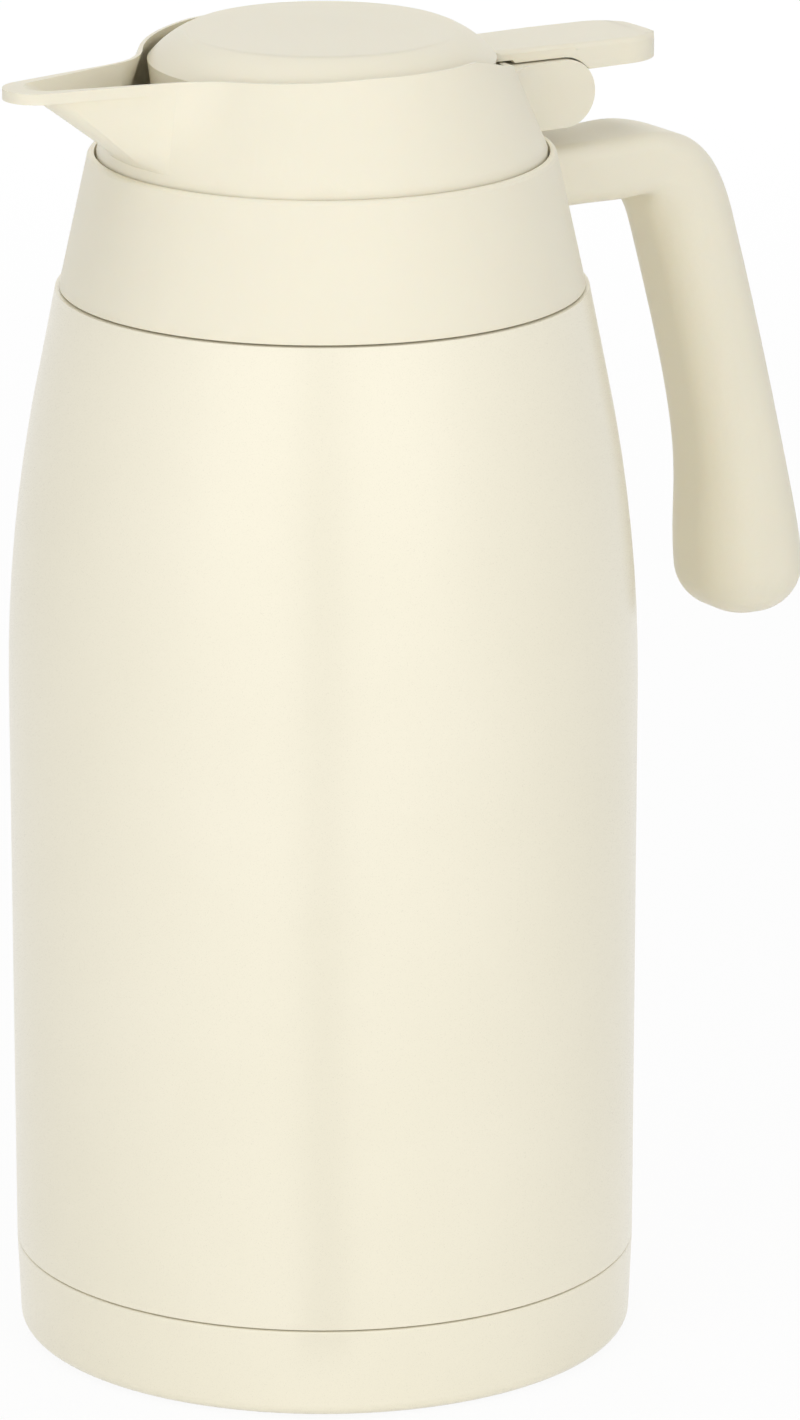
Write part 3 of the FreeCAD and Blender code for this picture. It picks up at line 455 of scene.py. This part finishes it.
def backdrop():
    """A pale floor that looks plain white and keeps a faint shadow of the object."""
    bpy.ops.mesh.primitive_plane_add(size=FLOOR_SIZE, location=(0, 0, -FLOOR_DROP))
    floor = bpy.context.object
    floor.name = "floor"
    made, tree, shader = material("pale_floor")
    tree.nodes.remove(shader)
    matte = tree.nodes.new("ShaderNodeBsdfDiffuse")
    tune(matte, {"Color": FLOOR_COLOUR})
    white = tree.nodes.new("ShaderNodeEmission")
    tune(white, {"Strength": 1.0})
    lit = tree.nodes.new("ShaderNodeMath")
    lit.operation = "MULTIPLY"
    lit.inputs[1].default_value = 1 - SHADOW_SHARE
    both = tree.nodes.new("ShaderNodeMixShader")
    tree.links.new(seen(tree), lit.inputs[0])
    tree.links.new(lit.outputs["Value"], both.inputs["Fac"])
    tree.links.new(matte.outputs["BSDF"], both.inputs[1])
    tree.links.new(white.outputs["Emission"], both.inputs[2])
    tree.links.new(both.outputs["Shader"], tree.nodes["Material Output"].inputs["Surface"])
    floor.data.materials.append(made)


def surroundings(strength):
    """A white room: plain white where it is seen, and dimmer as a light."""
    world = bpy.data.worlds.new("white_room")
    world.use_nodes = True
    tree = world.node_tree
    lit = tree.nodes["Background"]
    white = tree.nodes.new("ShaderNodeBackground")
    for room, level in ((lit, strength), (white, 1.0)):
        tune(room, {"Color": (1, 1, 1, 1), "Strength": level})
    both = tree.nodes.new("ShaderNodeMixShader")
    tree.links.new(seen(tree), both.inputs["Fac"])
    tree.links.new(lit.outputs["Background"], both.inputs[1])
    tree.links.new(white.outputs["Background"], both.inputs[2])
    tree.links.new(both.outputs["Shader"], tree.nodes["World Output"].inputs["Surface"])
    scene.world = world


# The camera that was fitted to the photograph; its bearing swings it from -Y towards the beak's side
BEARING = math.radians(-32.0)
PITCH = math.radians(16.13)
YAW = math.radians(0.508)
CAMERA_BACK = 1.923
CAMERA_HEIGHT = 0.6983
CAMERA_CLIP_END = 20.0
# The picture's size and the focal length, in pixels, and the long side of the sensor in millimetres
PICTURE_WIDE = 800
PICTURE_TALL = 1420
FOCAL_PIXELS = 8980.0
SENSOR = 36.0


def turned(vector):
    """A vector in the camera's bearing, turned into the part's frame."""
    return Matrix.Rotation(BEARING, 3, "Z") @ Vector(vector)


def camera():
    """The scene's camera, at the angle of the photograph."""
    data = bpy.data.cameras.new("camera")
    data.sensor_width = SENSOR
    data.lens = SENSOR * FOCAL_PIXELS / PICTURE_TALL
    data.clip_end = CAMERA_CLIP_END
    made = bpy.data.objects.new("camera", data)
    scene.collection.objects.link(made)
    ahead = turned((math.sin(YAW) * math.cos(PITCH), math.cos(YAW) * math.cos(PITCH), -math.sin(PITCH)))
    right = turned((math.cos(YAW), -math.sin(YAW), 0))
    up = right.cross(ahead)
    spin = Matrix((right, up, -ahead)).transposed()
    place = turned((0, -CAMERA_BACK, CAMERA_HEIGHT))
    made.matrix_world = Matrix.Translation(place) @ spin.to_4x4()
    scene.camera = made


def softbox(name, bearing, height, distance, width, tall, glow, aim):
    """A large soft light on a bearing from the camera's, in degrees, aimed at a height on the axis."""
    data = bpy.data.lights.new(name, "AREA")
    data.shape = "RECTANGLE"
    data.size = width
    data.size_y = tall
    data.energy = glow * math.pi * width * tall
    made = bpy.data.objects.new(name, data)
    scene.collection.objects.link(made)
    side = math.radians(bearing)
    made.visible_glossy = False
    made.location = turned((math.sin(side) * distance, -math.cos(side) * distance, height))
    made.rotation_euler = (Vector((0, 0, aim)) - made.location).to_track_quat("-Z", "Y").to_euler()


# The dark card: from near the object to far in front of it, then upright, and a little over the floor
CARD_NEAR = 0.10
CARD_FAR = 1.3
CARD_TALL = 0.42
CARD_SPREAD = math.tan(math.radians(6))
CARD_LIFT = 0.0005
CARD_COLOUR = (0.08, 0.08, 0.08, 1)


def dark_card():
    """A card that only reflections see, for the soft band down the middle of the shell."""
    rows = ((CARD_NEAR, 0), (CARD_FAR, 0), (CARD_FAR, CARD_TALL))
    corners = [(side * reach * CARD_SPREAD, -reach, height) for reach, height in rows for side in (-1, 1)]
    mesh = bpy.data.meshes.new("dark_card")
    mesh.from_pydata([turned(corner) for corner in corners], [], [(0, 1, 3, 2), (2, 3, 5, 4)])
    made = bpy.data.objects.new("dark_card", mesh)
    made.location.z = CARD_LIFT
    made.visible_camera = made.visible_diffuse = made.visible_shadow = False
    scene.collection.objects.link(made)
    look, _, shader = material("dark_card")
    tune(shader, {"Base Color": CARD_COLOUR, "Roughness": 0.9})
    mesh.materials.append(look)


backdrop()
surroundings(strength=0.47)
camera()
for name, side in (("left", -1), ("right", 1)):
    softbox(f"{name}_box", bearing=side * 30, height=0.44, distance=1.3,
            width=0.95, tall=0.86, glow=1.75, aim=0.12)
softbox("top_box", bearing=0, height=1.5, distance=0.05, width=1.2, tall=1.2, glow=1.15, aim=0.2)
softbox("back_box", bearing=180, height=0.6, distance=1.5, width=0.9, tall=0.9, glow=2.0, aim=0.12)
dark_card()

scene.view_settings.view_transform = "Standard"
scene.render.resolution_x = PICTURE_WIDE
scene.render.resolution_y = PICTURE_TALL
